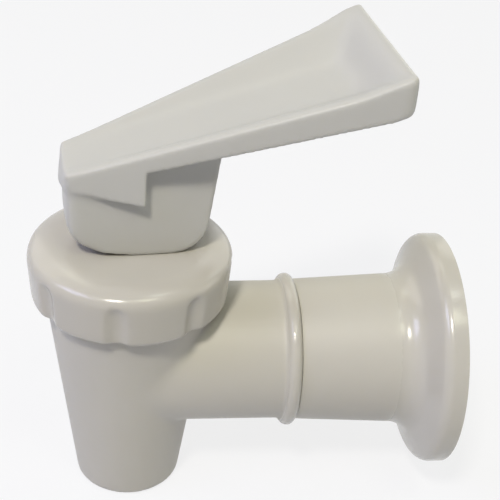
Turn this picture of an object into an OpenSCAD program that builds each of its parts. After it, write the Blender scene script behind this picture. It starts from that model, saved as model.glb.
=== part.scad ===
// Self-closing dispenser spigot: a tapered barrel on a horizontal tube, a bell collar that
// bears on the panel, a screwed bonnet with a return spring and a seat cup, and a dished
// paddle lever whose cam foot lifts the stem. Millimetres. The origin is at the middle of
// the collar's back face, on the inlet axis. +Y points into the panel and +Z is up.

/* [Layout] */
// Distance from the panel to the barrel axis
reach = 59; // [52:0.5:75]
// Turn of the lever about the barrel axis, in degrees
lever_turn = 5.4; // [0:0.1:20]

/* [Barrel] */
// Depth of the barrel's foot below the inlet axis
barrel_drop = 27.3; // [24:0.1:40]
// Outer diameter at the foot
barrel_foot_d = 20; // [18:0.1:24]
// Outer diameter at the shoulder under the bonnet
barrel_top_d = 30.5; // [29.5:0.1:32]
// Height of the shoulder above the inlet axis
shoulder_h = 13.9; // [13.2:0.1:16]
// Diameter of the neck that the bonnet screws on
neck_d = 27.6; // [26:0.1:28]
// Height of the neck above the shoulder
neck_h = 6.1; // [5:0.1:9]
// Diameter of the chamber at the top of the neck
chamber_top_d = 22.4; // [21.6:0.1:23]
// Diameter of the chamber at its floor
chamber_floor_d = 19.6; // [19:0.1:20]
// Depth of the chamber floor below the inlet axis
chamber_depth = 9; // [8.6:0.1:12]
// Diameter of the outlet
outlet_d = 13.2; // [11.5:0.1:14]
// Depth of the outlet from the foot
outlet_h = 15.8; // [12:0.1:16]
// Diameter of the throat through the seat
throat_d = 10.8; // [9:0.1:11]
// Height of the raised seat lip
seat_lip_h = 1.2; // [0.8:0.1:2]
// Width of the seat lip
seat_lip_w = 1.1; // [0.8:0.1:1.6]

/* [Tube] */
// Outer diameter of the tube at the barrel
tube_front_d = 25.8; // [24:0.1:26.2]
// Outer diameter of the tube at the bead
tube_rear_d = 26.2; // [25:0.1:27]
// Diameter of the waterway in the tube
waterway_d = 15.6; // [12:0.1:16]
// Distance of the bead from the panel
bead_y = 29.5; // [24:0.1:34]
// Outer diameter of the bead
bead_d = 29; // [28.4:0.1:31]
// Radius of the bead's round
bead_r = 1.3; // [0.8:0.1:1.6]
// Diameter of the shank inside the collar
shank_d = 19.4; // [18.6:0.1:20.5]
// Diameter of the waterway in the shank
shank_bore_d = 10.4; // [9:0.1:11.5]

/* [Collar] */
// Diameter of the flange on the panel
flange_d = 44; // [40:0.5:60]
// Width of the flange's straight rim
flange_band = 2.3; // [1.5:0.1:4]
// Radius where the rim turns into the bell
flange_round = 2.2; // [1.5:0.1:2.6]
// Diameter of the bell at the bead
bell_front_d = 26.5; // [25.5:0.1:27.5]
// Diameter of the bell where the flare begins
bell_rear_d = 28.5; // [27.6:0.1:29]
// Radius of the flare
flare_r = 4.6; // [3.5:0.1:6]
// Angle of the flare's steepest part
flare_angle = 68.5; // [50:0.5:72]
// Wall of the bell
bell_wall = 2.1; // [1.6:0.1:2.6]
// Number of ribs inside the bell
rib_n = 6; // [3:1:8]
// Thickness of a rib
rib_t = 1.6; // [1.2:0.1:2.4]

/* [Bonnet] */
// Diameter at the lower edge
bonnet_foot_d = 35.4; // [34:0.1:36]
// Diameter at the shoulder
bonnet_d = 36.5; // [36:0.1:39]
// Height of the bonnet
bonnet_h = 10.9; // [10.6:0.1:13]
// Height of the widest line above the lower edge
bonnet_side_h = 7.8; // [7:0.1:8.4]
// Radius of the outer round of the shoulder
crown_r1 = 2.3; // [2:0.1:3]
// Radius of the flatter inner round
crown_r2 = 9; // [6:0.5:12]
// Number of grip notches
notch_n = 8; // [6:1:12]
// Width of a notch
notch_w = 3.9; // [3:0.1:4.5]
// Depth of a notch
notch_d = 0.9; // [0.5:0.1:1.2]
// Turn of the first notch from +X, in degrees
notch_turn = -9; // [-22:1:22]

/* [Stem and pin] */
// Diameter of the stem
stem_d = 6; // [5:0.1:6.4]
// Diameter of the flange that the spring stands on
stem_flange_d = 10.8; // [10:0.1:11.4]
// Thickness of that flange
stem_flange_t = 1.5; // [1:0.1:2.5]
// Diameter of the button that holds the seat cup
button_d = 8.4; // [7:0.1:9]
// Thickness of the button
button_t = 2.8; // [2:0.1:3.2]
// Diameter of the neck above the button
button_neck_d = 4.4; // [3.6:0.1:5]
// Diameter of the hinge pin
pin_d = 3; // [2:0.1:3.2]

/* [Spring] */
// Diameter of the spring wire
wire_d = 1; // [0.8:0.1:1.2]
// Mean diameter of the spring
coil_d = 9; // [8.6:0.1:9.4]
// Number of turns, the two closed ends included
coil_n = 8; // [6:1:9]
// Thickness of the washer over the spring
washer_t = 0.7; // [0.5:0.1:1]

/* [Seat cup] */
// Thickness of the clamped rim
cup_rim_t = 1.5; // [1.2:0.1:2]
// Wall of the skirt
cup_wall = 1; // [0.8:0.1:1.2]
// Diameter of the plug that closes the seat
cup_plug_d = 15; // [14.4:0.1:15.6]
// Thickness of the plug under the button
cup_sole_t = 2; // [1.5:0.1:3]

/* [Lever] */
// Half width of the cam foot
foot_w = 12; // [11:0.1:13]
// Height of the hinge pin above the bonnet
pin_h = 11.4; // [10:0.1:13]
// Lift of the stem for each radian of the lever
cam_rate = 5.5; // [4:0.1:6.5]
// Angle over which the cam lifts at that rate, in degrees
cam_angle = 11; // [8:1:16]
// Radius of the foot's rear corner
heel_r = 6.2; // [5:0.1:7]
// Radius of the foot's lower front
toe_r = 9.5; // [8:0.1:11]
// Radius where that turns up into the foot's front
chin_r = 6.6; // [5:0.1:7]
// Relief of the foot's sole ahead of the stem, in degrees
toe_relief = 8.5; // [4:0.5:10]
// Length of that relief
toe_relief_l = 4.6; // [3:0.1:5]
// How far the apron's lower edge stands out at its middle
apron_out = 0.95; // [0.4:0.05:1.2]
// Height of the apron at the lever's front
apron_h = 4.1; // [3:0.05:4.5]
// Distance from the barrel axis to the lever's front edge
lever_front = 11.7; // [11.2:0.1:13]
// Distance from the barrel axis to the lever's rear edge
lever_rear = 43.2; // [40:0.1:55]
// Width of the lever at its front edge
lever_front_w = 12.3; // [12.2:0.1:15]
// Width of the lever at its rear edge
lever_rear_w = 34.2; // [30:0.2:44]
// Height of the lever's front edge above the bonnet
lever_front_h = 16.1; // [15.5:0.1:18]
// Slope of the side walls' crest, in degrees
crest_slope = 20; // [17:0.1:23]
// Slope of the side walls' lower edge, in degrees
under_slope = 16.8; // [14:0.1:17]
// Height of the side wall where the cheek ends
side_h = 3.5; // [2.6:0.1:4]
// Extra height of the crest at the front edge
front_rise = 0.3; // [0:0.05:0.6]
// Extra height of the lip at the rear edge
lip_h = 1.4; // [0.5:0.1:3]
// Length over which the lip rises
lip_l = 9; // [6:0.5:14]
// Distance from the barrel axis to the cheek's rear step
cheek_rear = 1.4; // [0.5:0.1:4]
// Height of the cheek's lower edge above the bonnet at the step
cheek_h = 11; // [9:0.1:13]
// Slope of the cheek's lower edge, in degrees
cheek_slope = 9; // [0:0.5:12]
// Lean of the lever's front face, in degrees
front_lean = 3.4; // [0:0.1:6]
// Thickness of the trough's floor
floor_t = 1.8; // [1.5:0.1:2.4]
// Width of the trough's floor
floor_w = 11.8; // [10:0.1:13]
// Width of the side walls' crest
crest_w = 1.9; // [1.6:0.1:2.6]
// Wall of the foot around the stem
foot_wall = 2.6; // [2.2:0.1:2.8]

/* [Inlet] */
// Minor diameter of the inlet thread
inlet_d = 9.9; // [8.8:0.1:10.4]
// Outer diameter of the threaded insert
insert_d = 15; // [13:0.1:15.4]
// Length of the threaded insert
insert_l = 14; // [10:0.1:18]
// Thickness of the sealing washer behind the insert
seal_t = 2; // [1.5:0.1:3]

/* [Hidden] */
$fn = 96;

// Clearances
run_fit = 0.06;     // a pin or stem that turns or slides in its hole
free_fit = 0.3;     // parts that pass without touching
thread_gap = 0.2;   // neck to bonnet, where the threads mesh
seat_gap = 0.05;    // rubber around the button
sink = 0.4;         // overlap of pieces of one moulding

// Levels on the barrel axis
foot_z = -barrel_drop;
floor_z = -chamber_depth;
seat_z = floor_z + seat_lip_h;
neck_z = shoulder_h + neck_h;
bonnet_z = shoulder_h + thread_gap;
clamp_z = neck_z + cup_rim_t;
top_z = bonnet_z + bonnet_h;
washer_z = clamp_z + 0.6;
spring_top = washer_z - washer_t;
button_z = seat_z + cup_sole_t;
flange_z = button_z + button_t + 2.2;
spring_foot = flange_z + stem_flange_t;
pin_z = top_z + pin_h;
plug_top = button_z + button_t + 1.2;

// Shoulder behind the bead, where the collar's front bears
shoulder_y = bead_y - bead_r;

// Barrel
barrel_draft = (barrel_top_d - barrel_foot_d) / 2 / (barrel_drop + shoulder_h);
foot_round = 0.9;
function barrel_r(z) = barrel_foot_d / 2 + barrel_draft * (z - foot_z);

// Points of an arc about c, with the angle running from a to b
function arc(c, r, a, b, n = 8) =
    [for (i = [0:n]) let (t = a + (b - a) * i / n) c + r * [cos(t), sin(t)]];

module on_barrel() { translate([0, -reach, 0]) children(); }
module on_lever() { on_barrel() rotate([0, 0, lever_turn]) children(); }
// Turns a revolve about Z into one about Y, with its height pointing out of the panel
module on_inlet() { rotate([90, 0, 0]) children(); }

/* Body: barrel, neck, tube, bead and shank in one moulding */

module barrel_outside() {
    rotate_extrude()
        polygon(concat(
            [[0, foot_z]],
            arc([barrel_r(foot_z) - foot_round, foot_z + foot_round], foot_round, -90, 0, 6),
            [[barrel_top_d / 2, shoulder_h],
             [neck_d / 2, shoulder_h],
             [neck_d / 2, neck_z],
             [0, neck_z]]));
}

module barrel_inside() {
    translate([0, 0, floor_z])
        cylinder(h = neck_z - floor_z + 1, d1 = chamber_floor_d,
                 d2 = chamber_top_d + (chamber_top_d - chamber_floor_d) / (neck_z - floor_z));
    translate([0, 0, foot_z - 1]) cylinder(h = outlet_h + 1, d = outlet_d);
    translate([0, 0, foot_z]) cylinder(h = barrel_drop, d = throat_d);
}

module seat_lip() {
    lip_r = throat_d / 2 + seat_lip_w / 2;
    rotate_extrude()
        polygon([[throat_d / 2, floor_z - sink],
                 [throat_d / 2, seat_z - seat_lip_w / 4],
                 [lip_r - seat_lip_w / 4, seat_z],
                 [lip_r + seat_lip_w / 4, seat_z],
                 [throat_d / 2 + seat_lip_w, seat_z - seat_lip_w / 4],
                 [throat_d / 2 + seat_lip_w, floor_z - sink]]);
}

module tube_outside() {
    on_inlet() {
        cylinder(h = bead_y, d = shank_d);
        translate([0, 0, shoulder_y]) cylinder(h = bead_y - shoulder_y, d = bell_front_d - 0.6);
        translate([0, 0, bead_y])
            cylinder(h = reach - bead_y, d1 = tube_rear_d, d2 = tube_front_d);
        translate([0, 0, bead_y])
            rotate_extrude() translate([bead_d / 2 - bead_r, 0]) circle(r = bead_r, $fn = 32);
    }
}

module tube_inside() {
    pocket = insert_l + seal_t;
    on_inlet() {
        translate([0, 0, -1]) cylinder(h = pocket + 1, d = insert_d);
        translate([0, 0, pocket - 1]) cylinder(h = reach - pocket, d = shank_bore_d);
        translate([0, 0, bead_y + 2]) cylinder(h = reach - bead_y - 2, d = waterway_d);
    }
}

module faucet_body() {
    color([0.80, 0.79, 0.76])
    difference() {
        union() {
            difference() {
                union() {
                    on_barrel() barrel_outside();
                    tube_outside();
                }
                on_barrel() barrel_inside();
            }
            on_barrel() seat_lip();
        }
        tube_inside();
    }
}

/* Bell collar: a hollow bell with ribs that bear on the shank */

flare_tilt = 90 - flare_angle;
// Outline of the bell from the rim to the bead, as radius and distance from the panel.
// inset moves it inwards by a wall.
function bell_outline(inset) =
    let (rim_c = [flange_d / 2 - flange_round, flange_band],
         r_rim = flange_round - inset,
         r_flare = flare_r + inset,
         turn = flare_angle,
         p_rim = rim_c + r_rim * [cos(turn), sin(turn)],
         flare_x = bell_rear_d / 2 + flare_r,
         run = (p_rim[0] - (flare_x - r_flare * cos(turn))) / sin(turn),
         p_flare = p_rim + run * [-sin(turn), cos(turn)],
         flare_c = [flare_x, p_flare[1] + r_flare * sin(turn)])
    concat([[flange_d / 2 - inset, 0]],
           arc(rim_c, r_rim, 0, turn, 6),
           arc(flare_c, r_flare, 180 + turn, 180, 8),
           [[bell_front_d / 2 - inset, bead_y]]);

module bell_collar() {
    hole_r = shank_d / 2 + run_fit;
    end_wall = 2.4;
    front = shoulder_y - 0.05;
    color([0.82, 0.81, 0.78])
    on_inlet()
    intersection() {
        translate([0, 0, 0]) cylinder(h = front, d = flange_d + 10);
        union() {
            difference() {
                rotate_extrude() polygon(concat([[0, 0]], bell_outline(0), [[0, bead_y]]));
                difference() {
                    rotate_extrude()
                        polygon(concat([[0, 0]], bell_outline(bell_wall), [[0, bead_y]]));
                    translate([0, 0, front - end_wall]) cylinder(h = end_wall + 1, d = flange_d);
                }
                translate([0, 0, -1]) cylinder(h = bead_y + 2, r = hole_r);
            }
            difference() {
                intersection() {
                    rotate_extrude()
                        polygon(concat([[0, 0]], bell_outline(bell_wall / 2), [[0, bead_y]]));
                    for (i = [0:rib_n - 1])
                        rotate([0, 0, 360 * (i + 0.5) / rib_n])
                            translate([hole_r - 1, -rib_t / 2, 1.2])
                                cube([flange_d, rib_t, front - 2.4]);
                }
                translate([0, 0, -1]) cylinder(h = bead_y + 2, r = hole_r);
            }
        }
    }
}

/* Bonnet: screwed cap with grip notches */

side_draft = atan((bonnet_d - bonnet_foot_d) / 2 / bonnet_side_h);
crown_turn = 62;

module bonnet_outside() {
    c1 = [bonnet_d / 2 - crown_r1, bonnet_z + bonnet_side_h];
    join = c1 + crown_r1 * [cos(crown_turn), sin(crown_turn)];
    c2 = join - crown_r2 * [cos(crown_turn), sin(crown_turn)];
    scale_z = (top_z - join[1]) / (crown_r2 * (1 - sin(crown_turn)));
    crown = [for (p = arc(c2, crown_r2, crown_turn, 90, 8))
                 [p[0], join[1] + (p[1] - join[1]) * scale_z]];
    edge_r = 0.5;
    rotate_extrude()
        polygon(concat(
            [[0, bonnet_z]],
            arc([bonnet_foot_d / 2 - edge_r, bonnet_z + edge_r], edge_r, -90, -10, 4),
            arc(c1, crown_r1, 0, crown_turn, 10),
            crown,
            [[0, top_z]]));
}

// A groove of round section with a round upper end
notch_r = (notch_w * notch_w / 4 + notch_d * notch_d) / (2 * notch_d);

module bonnet_notch() {
    translate([bonnet_foot_d / 2 - notch_d + notch_r, 0, bonnet_z])
        rotate([0, side_draft, 0])
            rotate_extrude($fn = 48)
                polygon(concat([[0, -1], [notch_r, -1]],
                               arc([0, bonnet_side_h + 0.4 - notch_w / 2], notch_r, 0, 90, 6)));
}

module bonnet() {
    color([0.82, 0.82, 0.79])
    on_barrel()
    difference() {
        bonnet_outside();
        translate([0, 0, bonnet_z - 1])
            cylinder(h = clamp_z - bonnet_z + 1, d = neck_d + 2 * thread_gap);
        translate([0, 0, clamp_z - 1]) cylinder(h = washer_z - clamp_z + 1, d = chamber_top_d - 2);
        translate([0, 0, clamp_z]) cylinder(h = bonnet_h, d = stem_d + 2 * run_fit);
        for (i = [0:notch_n - 1])
            rotate([0, 0, notch_turn + 360 * i / notch_n]) bonnet_notch();
    }
}

/* Stem, pin, spring, washer and seat cup */

module valve_stem() {
    color([0.86, 0.86, 0.84])
    on_lever()
    difference() {
        union() {
            translate([0, 0, button_z + button_t / 2])
                cylinder(h = pin_z - button_z - button_t / 2, d = button_neck_d);
            translate([0, 0, button_z]) cylinder(h = button_t, d = button_d);
            translate([0, 0, flange_z]) cylinder(h = stem_flange_t, d = stem_flange_d);
            translate([0, 0, flange_z]) cylinder(h = pin_z - flange_z, d = stem_d);
            translate([0, 0, pin_z]) sphere(d = stem_d);
        }
        translate([0, 0, pin_z]) rotate([0, 90, 0])
            cylinder(h = stem_d + 2, d = pin_d + 2 * run_fit, center = true);
    }
}

pin_blind = foot_w / 2 - 1.2;

module handle_pin() {
    color([0.72, 0.73, 0.75])
    on_lever()
        translate([-foot_w / 2, 0, pin_z]) rotate([0, 90, 0])
            cylinder(h = foot_w / 2 + pin_blind - 0.1, d = pin_d);
}

// A round wire swept along a helix whose first and last turns lie closed
module coil(r, wire, z0, z1, turns) {
    sides = 8;
    per_turn = 20;
    steps = turns * per_turn;
    rise = z1 - z0 - 2 * wire;
    function height(t) =
        let (u = t * turns)
        u < 1 ? wire / 2 + wire * u / 2
        : u > turns - 1 ? z1 - z0 - wire / 2 - wire * (turns - u) / 2
        : wire + rise * (u - 1) / (turns - 2);
    points = [for (i = [0:steps]) let (t = i / steps, a = 360 * turns * t)
        for (j = [0:sides - 1]) let (b = 360 * j / sides, q = r + wire / 2 * cos(b))
            [q * cos(a), q * sin(a), z0 + height(t) + wire / 2 * sin(b)]];
    faces = concat(
        [[for (j = [0:sides - 1]) j]],
        [for (i = [0:steps - 1]) for (j = [0:sides - 1]) let (k = (j + 1) % sides)
            [i * sides + j, (i + 1) * sides + j, (i + 1) * sides + k, i * sides + k]],
        [[for (j = [sides - 1:-1:0]) steps * sides + j]]);
    polyhedron(points = points, faces = faces, convexity = 10);
}

module return_spring() {
    color([0.70, 0.71, 0.73])
    on_barrel() coil(coil_d / 2, wire_d, spring_foot, spring_top, coil_n);
}

module spring_washer() {
    color([0.88, 0.88, 0.86])
    on_barrel()
    difference() {
        translate([0, 0, spring_top]) cylinder(h = washer_t, d = coil_d + 4);
        translate([0, 0, spring_top - 1]) cylinder(h = washer_t + 2, d = stem_d + 2 * free_fit);
    }
}

module seat_cup() {
    skirt_r = chamber_top_d / 2 - 1.6;
    plug_r = cup_plug_d / 2;
    button_r = button_d / 2 + seat_gap;
    hole_r = button_neck_d / 2 + seat_gap;
    color([0.90, 0.90, 0.88])
    on_barrel()
    rotate_extrude()
        polygon([
            [0, seat_z],
            [plug_r - 1, seat_z],
            [plug_r, seat_z + 1],
            [plug_r, plug_top],
            [skirt_r, neck_z - 1.5],
            [skirt_r, neck_z],
            [neck_d / 2, neck_z],
            [neck_d / 2, clamp_z],
            [skirt_r - cup_wall, clamp_z],
            [skirt_r - cup_wall, neck_z - 1.5],
            [plug_r - cup_wall, plug_top],
            [hole_r, plug_top],
            [hole_r, button_z + button_t + seat_gap],
            [button_r, button_z + button_t + seat_gap],
            [button_r, button_z - seat_gap],
            [0, button_z - seat_gap]]);
}

/* Inlet: threaded insert and its sealing washer */

module threaded_insert() {
    groove_w = 1.6;
    color([0.80, 0.66, 0.36])
    on_inlet()
    difference() {
        cylinder(h = insert_l, d = insert_d - 2 * 0.02);
        translate([0, 0, -1]) cylinder(h = insert_l + 2, d = inlet_d);
        translate([0, 0, insert_l / 2 - groove_w / 2])
            difference() {
                cylinder(h = groove_w, d = insert_d + 1);
                cylinder(h = groove_w, d = insert_d - 1);
            }
    }
}

module inlet_washer() {
    color([0.25, 0.25, 0.26])
    on_inlet()
    translate([0, 0, insert_l])
    difference() {
        cylinder(h = seal_t, d = insert_d - 0.2);
        translate([0, 0, -1]) cylinder(h = seal_t + 2, d = shank_bore_d - 1);
    }
}

/* Lever: a dished paddle lofted through cross-sections, on a cam foot.
   In the lever's own frame y runs from front to rear and x across. */

edge_r = 0.5;
corner_r = 1.8;
rear_round = 1;
lip_round = 1.3;
front_round = 0.5;
end_wall_l = 5.6;
paddle_l = lever_rear + lever_front;
front_z = top_z + lever_front_h;

function ramp(u) = let (v = min(1, max(0, u))) v * v * (3 - 2 * v);
// Half width of the paddle, drawn in round its rear corners
function half_w(y) =
    lever_front_w / 2 + (lever_rear_w - lever_front_w) / 2 * (y + lever_front) / paddle_l
    - corner_drop(y - (lever_rear - corner_r), corner_r)
    - corner_drop(front_round - lever_front - y, front_round);
function corner_drop(d, r) = d <= 0 ? 0 : r - sqrt(max(0, r * r - d * d));
// Crest of the side walls, with the lip at the rear
function crest_z(y) =
    front_z + tan(crest_slope) * (y + lever_front)
    + front_rise * pow(max(0, 1 - (y + lever_front) / 8), 2)
    + max(0, y - lever_rear + lip_l) * lip_h / lip_l
    - corner_drop(y - (lever_rear - lip_round), lip_round);
// Lower edge of the side walls, dropped to the cheek ahead of the step
function wall_low(y) =
    front_z + tan(crest_slope) * (cheek_rear + lever_front) - side_h
    + tan(under_slope) * (y - cheek_rear)
    + corner_drop(y - (lever_rear - rear_round), rear_round);
function cheek_low(y) = top_z + cheek_h - tan(cheek_slope) * (y - cheek_rear);
// Trough floor: parallel to the lower edge, running out at the front and up the end wall
function flat_floor(y) =
    let (rear = wall_low(lever_rear - lip_l) + floor_t)
    front_z - 0.05 + (rear - front_z) * (y + lever_front) / (lever_rear - lip_l + lever_front);
wall_foot = lever_rear - crest_w - end_wall_l;
function climb(y) = ramp((y - wall_foot) / end_wall_l);
function crest_in(y) = half_w(min(y, lever_rear - corner_r)) - crest_w;
function trough_z(y) = flat_floor(y) * (1 - climb(y)) + (crest_z(y) - 0.02) * climb(y);
function trough_w(y) =
    let (front_w = crest_in(-lever_front), u = ramp((y + lever_front) / 14))
    (front_w + (floor_w / 2 - front_w) * u) * (1 - climb(y)) + crest_in(y) * climb(y);
// Channel under the sloping sides, behind the foot
function channel_z(y, low) =
    let (open = ramp((y - cheek_rear) / 8) * ramp((lever_rear - 2.5 - y) / 4))
    low + max(0, crest_z(y) - floor_t - 0.6 - low) * open;

// One half of a cross-section at y, from the middle of the floor's underside round the
// side wall to the middle of the trough
function half_section(y, cheek) =
    let (w = half_w(y),
         top = crest_z(y),
         low = cheek ? cheek_low(y) : wall_low(y),
         side_t = min(1.7, w / 4),
         in_w = min(crest_in(y), w - 1),
         t_w = min(trough_w(y), in_w - 0.02),
         c_z = cheek ? low : channel_z(y, low),
         c_w = max(t_w * 0.96, 1))
    concat([[0, low],
            [min(c_w, w - side_t - 0.3), low],
            [w - side_t - 0.1, c_z],
            [w - side_t, c_z],
            [w - side_t + 0.02, low],
            [w - 0.15, low],
            [w, low + 0.15]],
           [for (a = [0:22.5:90]) [w - edge_r + edge_r * cos(a), top - edge_r + edge_r * sin(a)]],
           [[(in_w + w - edge_r) / 2, top],
            [in_w, top - 0.12],
            [t_w + (in_w - t_w) * 0.1, min(trough_z(y) + 0.12, top - 0.14)],
            [t_w, min(trough_z(y), top - 0.16)],
            [0, min(trough_z(y), top - 0.16)]]);

function section(y, cheek) =
    let (half = half_section(y, cheek), n = len(half))
    concat([for (p = half) [p[0], y, p[1]]],
           [for (i = [n - 2:-1:1]) [-half[i][0], y, half[i][1]]]);

// Closes an end between the section's underside and its top, on both halves
function end_cap(n) =
    let (low = [for (j = [0:6]) j], high = [for (j = [n / 2:-1:7]) j])
    concat([for (j = [0:5]) each both(n, low[j], low[j + 1], high[j + 1])],
           [for (j = [0:len(high) - 2]) each both(n, low[min(j, 6)], high[j + 1], high[j])]);
function both(n, a, b, c) = [[c, b, a], [(n - a) % n, (n - b) % n, (n - c) % n]];

module loft(rings) {
    n = len(rings[0]);
    m = len(rings);
    polyhedron(
        points = [for (ring = rings) for (p = ring) p],
        faces = concat(
            end_cap(n),
            [for (i = [0:m - 2]) for (j = [0:n - 1]) let (k = (j + 1) % n)
                each [[i * n + j, i * n + k, (i + 1) * n + k], [i * n + j, (i + 1) * n + k, (i + 1) * n + j]]],
            [for (f = end_cap(n)) [for (j = [2, 1, 0]) (m - 1) * n + f[j]]]),
        convexity = 10);
}

module paddle() {
    cheek_l = cheek_rear + lever_front;
    cheek_y = [for (u = [0.012, 0.024, 0.042, 0.1, 0.25, 0.45, 0.7, 1]) -lever_front + cheek_l * u];
    side_l = wall_foot - cheek_rear;
    side_y = [for (u = [0, 0.12, 0.24, 0.36, 0.5, 0.65, 0.8, 0.92]) cheek_rear + 0.05 + side_l * u];
    rear_l = lever_rear - wall_foot;
    rear_y = [for (u = [0, 0.12, 0.25, 0.38, 0.5, 0.62, 0.72, 0.8, 0.87, 0.93, 0.97, 0.995])
                  wall_foot + rear_l * u];
    loft(concat([for (y = cheek_y) section(y, true)],
                [for (y = side_y) section(y, false)],
                [for (y = rear_y) section(y, false)]));
}

// Apron over the front: level with the trough at the top, standing out in an arc below
module apron() {
    half = lever_front_w / 2 - front_round;
    side = [for (i = [8:-1:-8]) half * sin(i * 90 / 8)];
    depth = 1.2;
    points = [for (x = side)
        let (u = 1 - (x / half) * (x / half),
             low = front_z - apron_h + 0.7 * (1 - u))
        each [[x, -lever_front, front_z - 0.03],
              [x, -lever_front - apron_out * u, low],
              [x, -lever_front - apron_out * u + 0.3, low - 0.1],
              [x, -lever_front + depth, low + 1],
              [x, -lever_front + depth, front_z - 0.1]]];
    faces = concat(
        [[4, 3, 2, 1, 0]],
        [for (i = [0:len(side) - 2]) for (j = [0:4]) let (k = (j + 1) % 5)
            each [[i * 5 + j, i * 5 + k, i * 5 + 5 + k], [i * 5 + j, i * 5 + 5 + k, i * 5 + 5 + j]]],
        [[for (j = [0:4]) (len(side) - 1) * 5 + j]]);
    polyhedron(points = points, faces = faces, convexity = 4);
}

// Outline of the cam foot from the side, as distance from the barrel axis and height
heel_turn = 83;
toe_turn = 32;
chin_z = front_z - apron_h + 0.9;
function cam_p(a) = pin_h + cam_rate * a * PI / 180;
function cam_point(a) =
    [cam_p(a) * sin(a) + cam_rate * cos(a), pin_z - cam_p(a) * cos(a) + cam_rate * sin(a)];
relief_end = [-0.4 - toe_relief_l, top_z + toe_relief_l * tan(toe_relief)];
toe_c = relief_end + toe_r * [sin(toe_relief), cos(toe_relief)];
toe_end = toe_c - toe_r * [sin(toe_turn), cos(toe_turn)];
chin_c = toe_end + chin_r * [sin(toe_turn), cos(toe_turn)];
chin_y = chin_c[0] - chin_r * cos(front_lean) + (chin_z - chin_c[1]) * tan(front_lean);
heel_c = cam_point(cam_angle) - heel_r * [sin(cam_angle), -cos(cam_angle)];
foot_front = chin_c[0] - chin_r;
foot_back = heel_c[0] + heel_r;

function foot_outline() =
    let (heel = heel_c + heel_r * [sin(heel_turn), -cos(heel_turn)],
         back_z = wall_low(heel[0] + 2) + floor_t / 2,
         back = heel + (back_z - heel[1]) * [1 / tan(heel_turn), 1])
    concat(
        arc(chin_c, chin_r, 180 - front_lean, 270 - toe_turn, 8),
        [for (i = [1:6]) let (a = toe_turn + (toe_relief - toe_turn) * i / 6)
            toe_c - toe_r * [sin(a), cos(a)]],
        [[-0.4, top_z]],
        [for (i = [0:6]) cam_point(cam_angle * i / 6)],
        [for (i = [1:10]) let (a = cam_angle + (heel_turn - cam_angle) * i / 10)
            heel_c + heel_r * [sin(a), -cos(a)]],
        [back,
         [cheek_rear + 0.5, wall_low(cheek_rear + 0.5) + floor_t / 2],
         [-lever_front + 1.2, chin_z + 0.9],
         [chin_y, chin_z]]);

// Outline of the foot from above: rounded corners and a slightly full front
module foot_plan() {
    w = foot_w / 2;
    r = 0.9;
    full = 0.3;
    polygon(concat(
        [for (i = [-6:6]) let (x = (w - r) * i / 6)
            [x, foot_front - 0.02 + full * (x / (w - r)) * (x / (w - r))]],
        arc([w - r, foot_front + full + r], r, -70, 0, 5),
        [[w, foot_back + 3], [-w, foot_back + 3]],
        arc([r - w, foot_front + full + r], r, 180, 250, 5)));
}

module foot() {
    intersection() {
        across(foot_w) polygon(foot_outline());
        translate([0, 0, top_z - 1]) linear_extrude(height = lever_front_h + 8) foot_plan();
    }
}

// Room inside the foot for the stem's head, open below
function stem_room() =
    let (heel_y = foot_back - foot_wall,
         toe_y = foot_front + foot_wall)
    [[toe_y + 3.2, top_z - 1],
     [heel_y - 2.5, top_z - 1],
     [heel_y, top_z + 8],
     [heel_y, flat_floor(heel_y) - 2 * floor_t],
     [cheek_rear, flat_floor(cheek_rear) - 2 * floor_t],
     [toe_y, cheek_low(-lever_front) - 0.5],
     [toe_y, top_z + 7]];

module across(width) {
    rotate([90, 0, 90]) translate([0, 0, -width / 2]) linear_extrude(height = width) children();
}

module lever_handle() {
    color([0.84, 0.85, 0.82])
    on_lever()
    difference() {
        union() {
            paddle();
            apron();
            foot();
        }
        across(foot_w - 2 * foot_wall) polygon(stem_room());
        translate([-foot_w / 2 - 5, 0, pin_z]) rotate([0, 90, 0])
            cylinder(h = foot_w / 2 + pin_blind + 5, d = pin_d + 0.04);
    }
}

faucet_body();
bell_collar();
bonnet();
lever_handle();
handle_pin();
valve_stem();
return_spring();
spring_washer();
seat_cup();
threaded_insert();
inlet_washer();
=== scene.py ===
import math
import bmesh
import bpy
import numpy as np
from mathutils import Matrix, Vector


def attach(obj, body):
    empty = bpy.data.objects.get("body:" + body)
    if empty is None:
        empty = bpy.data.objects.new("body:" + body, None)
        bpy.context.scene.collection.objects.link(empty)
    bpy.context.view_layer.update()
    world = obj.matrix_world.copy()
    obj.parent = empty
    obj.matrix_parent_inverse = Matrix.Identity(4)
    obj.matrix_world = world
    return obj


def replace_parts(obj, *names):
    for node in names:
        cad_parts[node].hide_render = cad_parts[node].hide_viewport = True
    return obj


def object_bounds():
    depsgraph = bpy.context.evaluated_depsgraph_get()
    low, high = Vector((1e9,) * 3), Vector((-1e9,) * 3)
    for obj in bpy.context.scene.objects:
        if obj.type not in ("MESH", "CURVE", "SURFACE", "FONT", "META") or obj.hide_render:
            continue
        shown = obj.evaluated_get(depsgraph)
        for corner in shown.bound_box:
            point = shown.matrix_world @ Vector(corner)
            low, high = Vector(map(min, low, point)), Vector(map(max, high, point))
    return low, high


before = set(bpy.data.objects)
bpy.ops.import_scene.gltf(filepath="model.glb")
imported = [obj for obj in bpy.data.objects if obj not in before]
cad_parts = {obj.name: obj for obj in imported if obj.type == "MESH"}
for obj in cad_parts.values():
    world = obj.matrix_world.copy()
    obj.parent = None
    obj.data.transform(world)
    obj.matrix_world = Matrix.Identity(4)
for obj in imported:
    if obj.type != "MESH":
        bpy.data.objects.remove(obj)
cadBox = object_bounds()
mm = 0.001


# Shader graphs: sockets with operators

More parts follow.
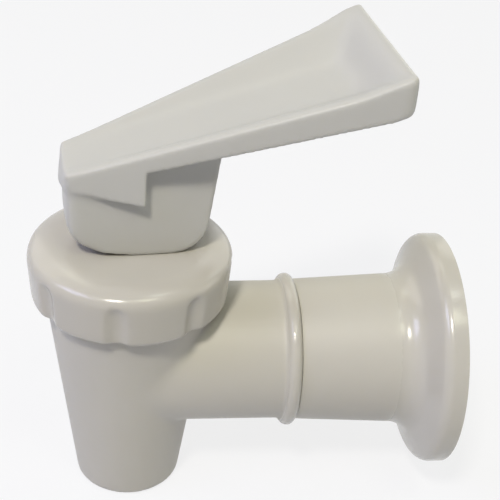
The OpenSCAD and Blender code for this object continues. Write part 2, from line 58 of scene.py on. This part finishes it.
class Graph:
    # The nodes of a material, or of an owner such as the world
    def __init__(self, name, owner=None):
        self.material = owner or bpy.data.materials.new(name)
        self.material.use_nodes = True
        self.nodes = self.material.node_tree.nodes
        self.links = self.material.node_tree.links
        self.bsdf = self.nodes.get("Principled BSDF")

    def node(self, kind, inputs=(), output=0, **settings):
        made = self.nodes.new(kind)
        for key, value in settings.items():
            setattr(made, key, value)
        for key, value in dict(inputs).items():
            self.feed(made.inputs[key], value)
        return Term(self, made.outputs[output])

    def feed(self, socket, value):
        if isinstance(value, Term):
            self.links.new(value.socket, socket)
        else:
            socket.default_value = value

    def place(self):
        return self.node("ShaderNodeTexCoord", output="Object")

    def noise(self, where, scale, detail=2.0, roughness=0.5):
        return self.node("ShaderNodeTexNoise", {"Vector": where, "Scale": scale, "Detail": detail,
                                                "Roughness": roughness}, output="Fac")

    def blend(self, low, high, amount):
        return self.node("ShaderNodeMix", {0: amount, 6: low, 7: high}, output=2,
                         data_type="RGBA")

    def bump(self, height, strength, distance):
        return self.node("ShaderNodeBump", {"Height": height, "Strength": strength,
                                            "Distance": distance}, output="Normal")

    def stepUp(self, value, start, end):
        return self.node("ShaderNodeMapRange", {"Value": value, "From Min": start, "From Max": end},
                         interpolation_type="SMOOTHSTEP")

    def along(self, where, axis):
        return self.node("ShaderNodeSeparateXYZ", {"Vector": where}, output=axis)

    def put(self, **values):
        for key, value in values.items():
            self.feed(self.bsdf.inputs[key.replace("_", " ")], value)


class Term:
    def __init__(self, graph, socket):
        self.graph = graph
        self.socket = socket

    def maths(self, operation, first, second):
        return self.graph.node("ShaderNodeMath", {0: first, 1: second}, operation=operation)

    def __add__(self, other):
        return self.maths("ADD", self, other)

    def __radd__(self, other):
        return self.maths("ADD", other, self)

    def __sub__(self, other):
        return self.maths("SUBTRACT", self, other)

    def __rsub__(self, other):
        return self.maths("SUBTRACT", other, self)

    def __mul__(self, other):
        return self.maths("MULTIPLY", self, other)

    def __rmul__(self, other):
        return self.maths("MULTIPLY", other, self)


# Materials

def plastic(look, gloss=None):
    # gloss gives a mask, 0 to 1, of where the moulding is polished
    g = Graph(look["name"])
    where = g.place()
    cloud = g.noise(where, look["cloudScale"], 3.0)
    grain = g.noise(where, look["grainScale"], 4.0, 0.6)
    roughness = look["roughness"] + (grain - 0.5) * look["roughSpread"]
    if gloss:
        roughness = roughness - gloss(g, where, look) * (look["roughness"] - look["polished"])
    g.put(Base_Color=g.blend(look["dark"], look["light"], cloud), Roughness=roughness,
          Normal=g.bump(grain, look["bump"], look["bumpDepth"]))
    g.put(Specular_IOR_Level=0.5, Subsurface_Weight=look["subsurface"],
          Subsurface_Radius=look["scatter"], Subsurface_Scale=1.0)
    return g.material


def metal(look):
    g = Graph(look["name"])
    where = g.place()
    grain = g.noise(where, look["grainScale"], 3.0)
    g.put(Base_Color=g.blend(look["dark"], look["light"], grain), Metallic=1.0,
          Roughness=look["roughness"] + (grain - 0.5) * look["roughSpread"])
    return g.material


def flareGloss(g, where, look):
    # The flare and the flange's rim are polished, the straight bell is matt
    return g.stepUp(g.along(where, "Y"), *look["flareStart"])


def beadGloss(g, where, look):
    # The bead is what stands out from the tube, between the barrel and the collar
    offTube = g.node("ShaderNodeVectorMath", {0: where, 1: (1, 0, 1)}, operation="MULTIPLY")
    out = g.node("ShaderNodeVectorMath", {0: offTube}, output="Value", operation="LENGTH")
    return g.stepUp(out, *look["beadRadius"]) * g.stepUp(g.along(where, "Y"), *look["beadStart"])


# Colours are linear, and lengths here are in metres, as Object coordinates are
bodyPlastic = {
    "name": "white_plastic", "dark": (0.50, 0.482, 0.430, 1), "light": (0.53, 0.512, 0.458, 1),
    "cloudScale": 40.0, "grainScale": 900.0, "roughness": 0.48, "roughSpread": 0.10,
    "polished": 0.19, "beadRadius": (0.0132, 0.0138), "beadStart": (-0.033, -0.032),
    "bump": 0.03, "bumpDepth": 0.0002, "subsurface": 0.15, "scatter": (0.0020, 0.0017, 0.0013),
}
collarPlastic = dict(bodyPlastic, name="collar_white", flareStart=(-0.0120, -0.0090))
bonnetPlastic = dict(bodyPlastic, name="bonnet_white", dark=(0.465, 0.445, 0.395, 1),
                     light=(0.495, 0.475, 0.422, 1), roughness=0.20, roughSpread=0.02, bump=0.005)
leverPlastic = dict(bodyPlastic, name="lever_plastic", dark=(0.47, 0.467, 0.437, 1),
                    light=(0.50, 0.497, 0.465, 1), roughness=0.42)
acetal = dict(bodyPlastic, name="acetal", dark=(0.74, 0.74, 0.72, 1), light=(0.78, 0.78, 0.76, 1),
              roughness=0.42)
silicone = dict(bodyPlastic, name="silicone", dark=(0.70, 0.71, 0.70, 1),
                light=(0.75, 0.76, 0.75, 1), roughness=0.55, subsurface=0.4)
blackRubber = dict(bodyPlastic, name="black_rubber", dark=(0.020, 0.020, 0.022, 1),
                   light=(0.028, 0.028, 0.030, 1), roughness=0.70, subsurface=0.0)
steel = {"name": "steel", "dark": (0.52, 0.53, 0.55, 1), "light": (0.62, 0.63, 0.65, 1),
         "grainScale": 1400.0, "roughness": 0.28, "roughSpread": 0.12}
brass = {"name": "brass", "dark": (0.62, 0.44, 0.18, 1), "light": (0.68, 0.49, 0.21, 1),
         "grainScale": 300.0, "roughness": 0.27, "roughSpread": 0.06}

finishes = {
    "faucet_body": plastic(bodyPlastic, beadGloss),
    "bell_collar": plastic(collarPlastic, flareGloss),
    "bonnet": plastic(bonnetPlastic),
    "lever_handle": plastic(leverPlastic),
    "handle_pin": metal(steel),
    "valve_stem": plastic(acetal),
    "return_spring": metal(dict(steel, name="spring_steel")),
    "seat_cup": plastic(silicone),
    "spring_washer": plastic(dict(acetal, name="washer_plastic")),
    "threaded_insert": metal(brass),
    "inlet_washer": plastic(blackRubber),
}


def paint(piece, material):
    piece.data.materials.clear()
    piece.data.materials.append(material)


for name, material in finishes.items():
    paint(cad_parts[name], material)
print("materials", len(finishes))


# Moulded pieces with softened edges, in millimetres: an even copy, whose points move towards
# the mean of their neighbours, further where their share is larger

def ramp(value, start, end):
    # Smooth step: 0 up to the start, 1 from the end on, 3 s^2 - 2 s^3 between them
    share = np.clip((value - start) / (end - start), 0, 1)
    return share * share * (3 - 2 * share)


mergeDistance = 1e-6  # metres


def mergedCopy(name):
    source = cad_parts[name]
    piece = bpy.data.objects.new(name + "_soft", source.data.copy())
    bpy.context.collection.objects.link(piece)
    shape = bmesh.new()
    shape.from_mesh(piece.data)
    bmesh.ops.remove_doubles(shape, verts=shape.verts, dist=mergeDistance)
    shape.to_mesh(piece.data)
    shape.free()
    return piece


def vertexValues(mesh, key):
    values = np.empty(3 * len(mesh.vertices))
    mesh.vertices.foreach_get(key, values)
    return values.reshape(-1, 3)


def remeshed(piece, cell):
    # Square cells of one size, with the edges kept sharp
    corners = vertexValues(piece.data, "co") / mm
    reach = (corners.max(0) - corners.min(0)).max()
    even = piece.modifiers.new("even", "REMESH")
    even.mode, even.octree_depth = "SHARP", 8
    even.scale = reach / (cell * 2 ** even.octree_depth)
    even.use_remove_disconnected = False
    bpy.context.view_layer.update()
    mesh = bpy.data.meshes.new_from_object(
        piece.evaluated_get(bpy.context.evaluated_depsgraph_get()))
    piece.modifiers.clear()
    return mesh


def relaxed(name, look, share):
    # Worked on in a frame on the barrel's axis, turned as the piece is. In each round a point
    # moves by its share of the way to the mean of the points it has an edge with
    piece = mergedCopy(name)
    local = (Matrix.Translation((0, look["axisY"] * mm, 0))
             @ Matrix.Rotation(math.radians(look["turn"]), 4, "Z"))
    piece.data.transform(local.inverted())
    mesh = remeshed(piece, look["cell"])
    piece.data = mesh
    points, normals = vertexValues(mesh, "co") / mm, vertexValues(mesh, "normal")
    ends = np.empty(2 * len(mesh.edges), dtype=np.int32)
    mesh.edges.foreach_get("vertices", ends)
    first = np.concatenate([ends[0::2], ends[1::2]])
    second = np.concatenate([ends[1::2], ends[0::2]])
    count = np.bincount(first, minlength=len(points))
    amount = share(points, normals, look)[:, None]
    for _ in range(look["rounds"]):
        total = np.stack([np.bincount(first, points[second, axis], len(points))
                          for axis in range(3)], 1)
        points = points + amount * (total / count[:, None] - points)
    mesh.vertices.foreach_set("co", (points * mm).ravel())
    mesh.transform(local)
    mesh.update()
    mesh.shade_smooth()
    return piece


def dress(piece, node, body):
    paint(piece, finishes[node])
    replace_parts(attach(piece, body), node)
    print(piece.name, len(piece.data.polygons))


# Lever: the share is large in the dish, inside its rim, and middling on the rear wall and on
# the foot ahead of the stem. Back is positive towards the panel
leverSoft = {
    "axisY": -59.0, "turn": 5.4, "cell": 0.36, "rounds": 90,
    "edge": 0.04, "dish": 0.5, "rearWall": 0.16, "foot": 0.16,
    "front": 11.7, "rear": 43.2, "frontWidth": 12.3, "rearWidth": 34.2,
    "rim": (1.7, 3.2), "dishStart": (1.0, 2.5), "dishUp": (0.0, 0.3), "dishZ": (39.0, 40.0),
    "rearStart": (39.0, 42.0), "footAhead": (4.0, 8.0), "footZ": (37.0, 39.0),
    "frontAhead": (9.5, 11.0), "frontZ": (38.6, 39.8),
}


def leverShare(points, normals, look):
    side, back, up = points.T
    spread = (look["rearWidth"] - look["frontWidth"]) / 2 / (look["rear"] + look["front"])
    inward = look["frontWidth"] / 2 + spread * (back + look["front"]) - np.abs(side)
    dish = (ramp(np.minimum(inward, look["rear"] - back), *look["rim"])
            * ramp(back + look["front"], *look["dishStart"])
            * ramp(normals[:, 2], *look["dishUp"]) * ramp(up, *look["dishZ"]))
    foot = ramp(-back, *look["footAhead"]) * (1 - ramp(up, *look["footZ"]))
    front = ramp(-back, *look["frontAhead"]) * (1 - ramp(up, *look["frontZ"]))
    return np.maximum.reduce([look["edge"] + 0 * back, look["dish"] * dish,
                              look["rearWall"] * ramp(back, *look["rearStart"]),
                              look["foot"] * foot, look["foot"] * front])


dress(relaxed("lever_handle", leverSoft, leverShare), "lever_handle", "lever")


# Bonnet: one share everywhere
bonnetSoft = {"axisY": -59.0, "turn": 0.0, "cell": 0.30, "rounds": 30, "edge": 0.35}


def bonnetShare(points, normals, look):
    return np.full(len(points), look["edge"])


dress(relaxed("bonnet", bonnetSoft, bonnetShare), "bonnet", "faucet")


# Body: the share falls off as a bell curve of the distance to the line where the tube meets
# the barrel. It is largest on the sides of that line, and on top and below it is the share
# that the edges have
bodySoft = {
    "axisY": -59.0, "turn": 0.0, "cell": 0.60, "rounds": 40,
    "edge": 0.03, "blend": 0.4, "spread": 1.8, "sides": 6,
    "tubeRadius": 12.95, "footZ": -27.3, "footRadius": 10.0, "draft": 5.25 / 41.2,
}


def bodyShare(points, normals, look):
    x, y, z = points.T
    fromTube = np.hypot(x, z) - look["tubeRadius"]
    fromBarrel = np.hypot(x, y) - look["footRadius"] - look["draft"] * (z - look["footZ"])
    near = np.exp(-(fromTube ** 2 + fromBarrel ** 2) / (2 * look["spread"] ** 2))
    sideways = (x / np.hypot(x, z)) ** look["sides"]
    return look["edge"] + (look["blend"] - look["edge"]) * near * sideways


dress(relaxed("faucet_body", bodySoft, bodyShare), "faucet_body", "faucet")


# Collar: a fine bevel on its edges
collarSoft = {"width": 0.18, "segments": 3, "angle": 35.0}


def bevelled(name, look):
    piece = mergedCopy(name)
    if piece.data.has_custom_normals:
        with bpy.context.temp_override(object=piece, active_object=piece):
            bpy.ops.mesh.customdata_custom_splitnormals_clear()
    piece.data.shade_smooth()
    bevel = piece.modifiers.new("soft_edges", "BEVEL")
    bevel.width, bevel.segments = look["width"] * mm, look["segments"]
    bevel.limit_method, bevel.angle_limit = "ANGLE", math.radians(look["angle"])
    bevel.harden_normals = True
    return piece


dress(bevelled("bell_collar", collarSoft), "bell_collar", "faucet")


# Surfaces on a grid

def gridMesh(name, points, closed=False):
    # points has shape (rows, columns, 3); neighbours are joined by quads, on a closed
    # surface also the last row or column to the first
    rows, columns = points.shape[:2]
    row = np.arange(rows if closed else rows - 1)[:, None]
    column = np.arange(columns if closed else columns - 1)[None, :]
    nextRow, nextColumn = (row + 1) % rows, (column + 1) % columns
    quads = np.stack([row * columns + column, nextRow * columns + column,
                      nextRow * columns + nextColumn, row * columns + nextColumn], -1)
    mesh = bpy.data.meshes.new(name)
    mesh.from_pydata(points.reshape(-1, 3).tolist(), [], quads.reshape(-1, 4).tolist())
    mesh.update()
    piece = bpy.data.objects.new(name, mesh)
    bpy.context.collection.objects.link(piece)
    return piece


# Brass insert with its right-handed 7/16-20 thread, in millimetres
insert = {
    "radius": 7.48, "length": 14.0, "minor": 4.95, "depth": 0.62, "pitch": 1.27,
    "fade": 1.2, "mouth": 0.7, "grooveWidth": 1.6, "grooveDepth": 0.48,
    "turns": 96, "perPitch": 14, "sharpAngle": 40.0,
}


def threadedInsert(look):
    # The bore's radius is the minor radius plus a smoothed triangle wave of depth over pitch
    # less the turn, which fades out at both ends, plus a flare at the mouth. The outside is a
    # cylinder with a groove at mid-length
    rows = int(look["length"] / look["pitch"] * look["perPitch"])
    turn = np.linspace(0, 2 * np.pi, look["turns"], endpoint=False)[None, :]
    depth = np.linspace(-look["length"], 0, rows)[:, None]
    phase = (depth / look["pitch"] - turn / (2 * np.pi)) % 1.0
    wave = ramp(np.abs(2 * phase - 1), 0.0, 1.0)
    fade = ramp(-depth, 0.0, look["fade"]) * ramp(depth + look["length"], 0.0, look["fade"])
    bore = (look["minor"] + look["depth"] * wave * fade
            + look["mouth"] * ramp(depth, -look["mouth"], 0.0))
    half = look["grooveWidth"] / 2
    middle = -look["length"] / 2
    outside = np.array([[0.0, 0.0], [middle + half, 0.0], [middle + half, look["grooveDepth"]],
                        [middle - half, look["grooveDepth"]], [middle - half, 0.0],
                        [-look["length"], 0.0]])
    radius = np.concatenate([look["radius"] - outside[:, 1:] + 0 * turn, bore])
    place = np.concatenate([outside[:, :1], depth]) + 0 * turn
    points = np.stack([radius * np.sin(turn), place, radius * np.cos(turn)], -1)
    piece = gridMesh("insert_threaded", points * mm, closed=True)
    piece.data.shade_smooth()
    piece.data.set_sharp_from_angle(angle=math.radians(look["sharpAngle"]))
    return piece


dress(threadedInsert(insert), "threaded_insert", "faucet")


# Floor and world: white where they are seen, while the floor keeps the shadow

def seenDirectly(g):
    # 1 where the camera sees it, in a reflection or through glass too
    rays = [g.node("ShaderNodeLightPath", output=name)
            for name in ("Is Camera Ray", "Is Glossy Ray", "Is Transmission Ray")]
    return rays[0] + rays[1] + rays[2]


floorLook = {
    "name": "floor_paint", "size": 6.0, "drop": 0.2, "dark": (0.64, 0.65, 0.70, 1),
    "light": (0.66, 0.67, 0.72, 1), "patchScale": 3.0, "roughness": 0.9, "whiter": 0.80,
}


def floorPaint(look):
    g = Graph(look["name"])
    g.put(Base_Color=g.blend(look["dark"], look["light"], g.noise(g.place(), look["patchScale"])),
          Roughness=look["roughness"])
    pale = g.node("ShaderNodeEmission", {"Color": (1, 1, 1, 1), "Strength": 1.0})
    mixed = g.node("ShaderNodeMixShader", {0: seenDirectly(g) * look["whiter"],
                                           1: Term(g, g.bsdf.outputs[0]), 2: pale})
    g.feed(g.nodes["Material Output"].inputs["Surface"], mixed)
    return g.material


def flatFloor(look):
    # A level square just under the part
    level = cadBox[0][2] - look["drop"] * mm
    across = np.linspace(-look["size"] / 2, look["size"] / 2, 2)
    x, y = np.meshgrid(across, across, indexing="ij")
    return gridMesh("floor", np.stack([x, y, np.full((2, 2), level)], -1))


floor = flatFloor(floorLook)
paint(floor, floorPaint(floorLook))

skyLook = {"name": "studio", "colour": (0.97, 0.98, 1.0, 1), "faint": 0.05}
world = bpy.data.worlds.new(skyLook["name"])
bpy.context.scene.world = world
sky = Graph(skyLook["name"], world)
background = sky.nodes["Background"]
sky.feed(background.inputs["Color"], skyLook["colour"])
sky.feed(background.inputs["Strength"],
         seenDirectly(sky) * (1 - skyLook["faint"]) + skyLook["faint"])


# Camera, as the photograph was taken: place in millimetres and the directions of its axes
cameraPlace = Vector((172.057, -64.797, 132.665)) * mm
cameraRight = Vector((0.1137987, 0.9912054, 0.0675405))
cameraUp = Vector((-0.5395580, 0.0045765, 0.8419360))
cameraBack = Vector((0.8342224, -0.1322533, 0.5353336))
focalPixels, photoPixels, sensor = 1145.1, 500.0, 36.0
halfPixel = 0.5 / photoPixels

camera = bpy.data.objects.new("camera", bpy.data.cameras.new("camera"))
bpy.context.collection.objects.link(camera)
camera.data.sensor_width = sensor
camera.data.lens = sensor * focalPixels / photoPixels
camera.data.shift_x, camera.data.shift_y = -halfPixel, halfPixel
camera.data.clip_start, camera.data.clip_end = 0.01, 20.0
cameraTurn = Matrix((cameraRight, cameraUp, cameraBack)).transposed().to_4x4()
camera.matrix_world = Matrix.Translation(cameraPlace) @ cameraTurn
bpy.context.scene.camera = camera
bpy.context.scene.view_settings.view_transform = "Standard"


# Lights: the way from the target to each, its distance and size in metres, power in watts
target = Vector((0, -40, 12)) * mm
lights = {
    "lamp": {"way": (0.53, -0.25, 0.81), "distance": 0.80, "size": 0.10, "power": 4.05,
             "colour": (1.0, 0.945, 0.84)},
    "back": {"way": (0.43, 0.19, 0.88), "distance": 0.80, "size": 0.20, "power": 1.02,
             "colour": (0.95, 0.97, 0.74)},
    "far": {"way": (-0.50, -0.20, 0.84), "distance": 0.90, "size": 0.30, "power": 0.60,
            "colour": (0.98, 0.98, 0.76)},
    "front": {"way": (0.15, -0.75, 0.65), "distance": 0.80, "size": 0.30, "power": 1.72,
              "colour": (0.60, 0.64, 1.0)},
    "nose": {"way": (0.39, -0.66, 0.64), "distance": 0.80, "size": 0.20, "power": 0.50,
             "colour": (0.62, 0.62, 1.0)},
    "top": {"way": (0.04, 0.24, 0.97), "distance": 0.70, "size": 0.12, "power": 0.28,
            "colour": (0.92, 0.98, 0.88)},
    "fill": {"way": (-0.60, -0.60, 0.50), "distance": 0.90, "size": 0.60, "power": 1.20,
             "colour": (1.0, 0.94, 0.85)},
    "behind": {"way": (-0.70, 0.60, 0.38), "distance": 0.90, "size": 0.70, "power": 1.80,
               "colour": (1.0, 0.98, 0.93)},
    "panelSide": {"way": (0.10, 0.98, 0.15), "distance": 0.90, "size": 0.60, "power": 1.20,
                  "colour": (1.0, 0.98, 0.95)},
}


def areaLight(name, look):
    data = bpy.data.lights.new(name, "AREA")
    data.shape = "SQUARE"
    data.size, data.energy, data.color = look["size"], look["power"], look["colour"]
    made = bpy.data.objects.new(name, data)
    bpy.context.collection.objects.link(made)
    way = Vector(look["way"]).normalized()
    made.location = target + way * look["distance"]
    made.rotation_mode = "QUATERNION"
    made.rotation_quaternion = way.to_track_quat("Z", "Y")


for name, look in lights.items():
    areaLight(name, look)
print("stage", len(lights))
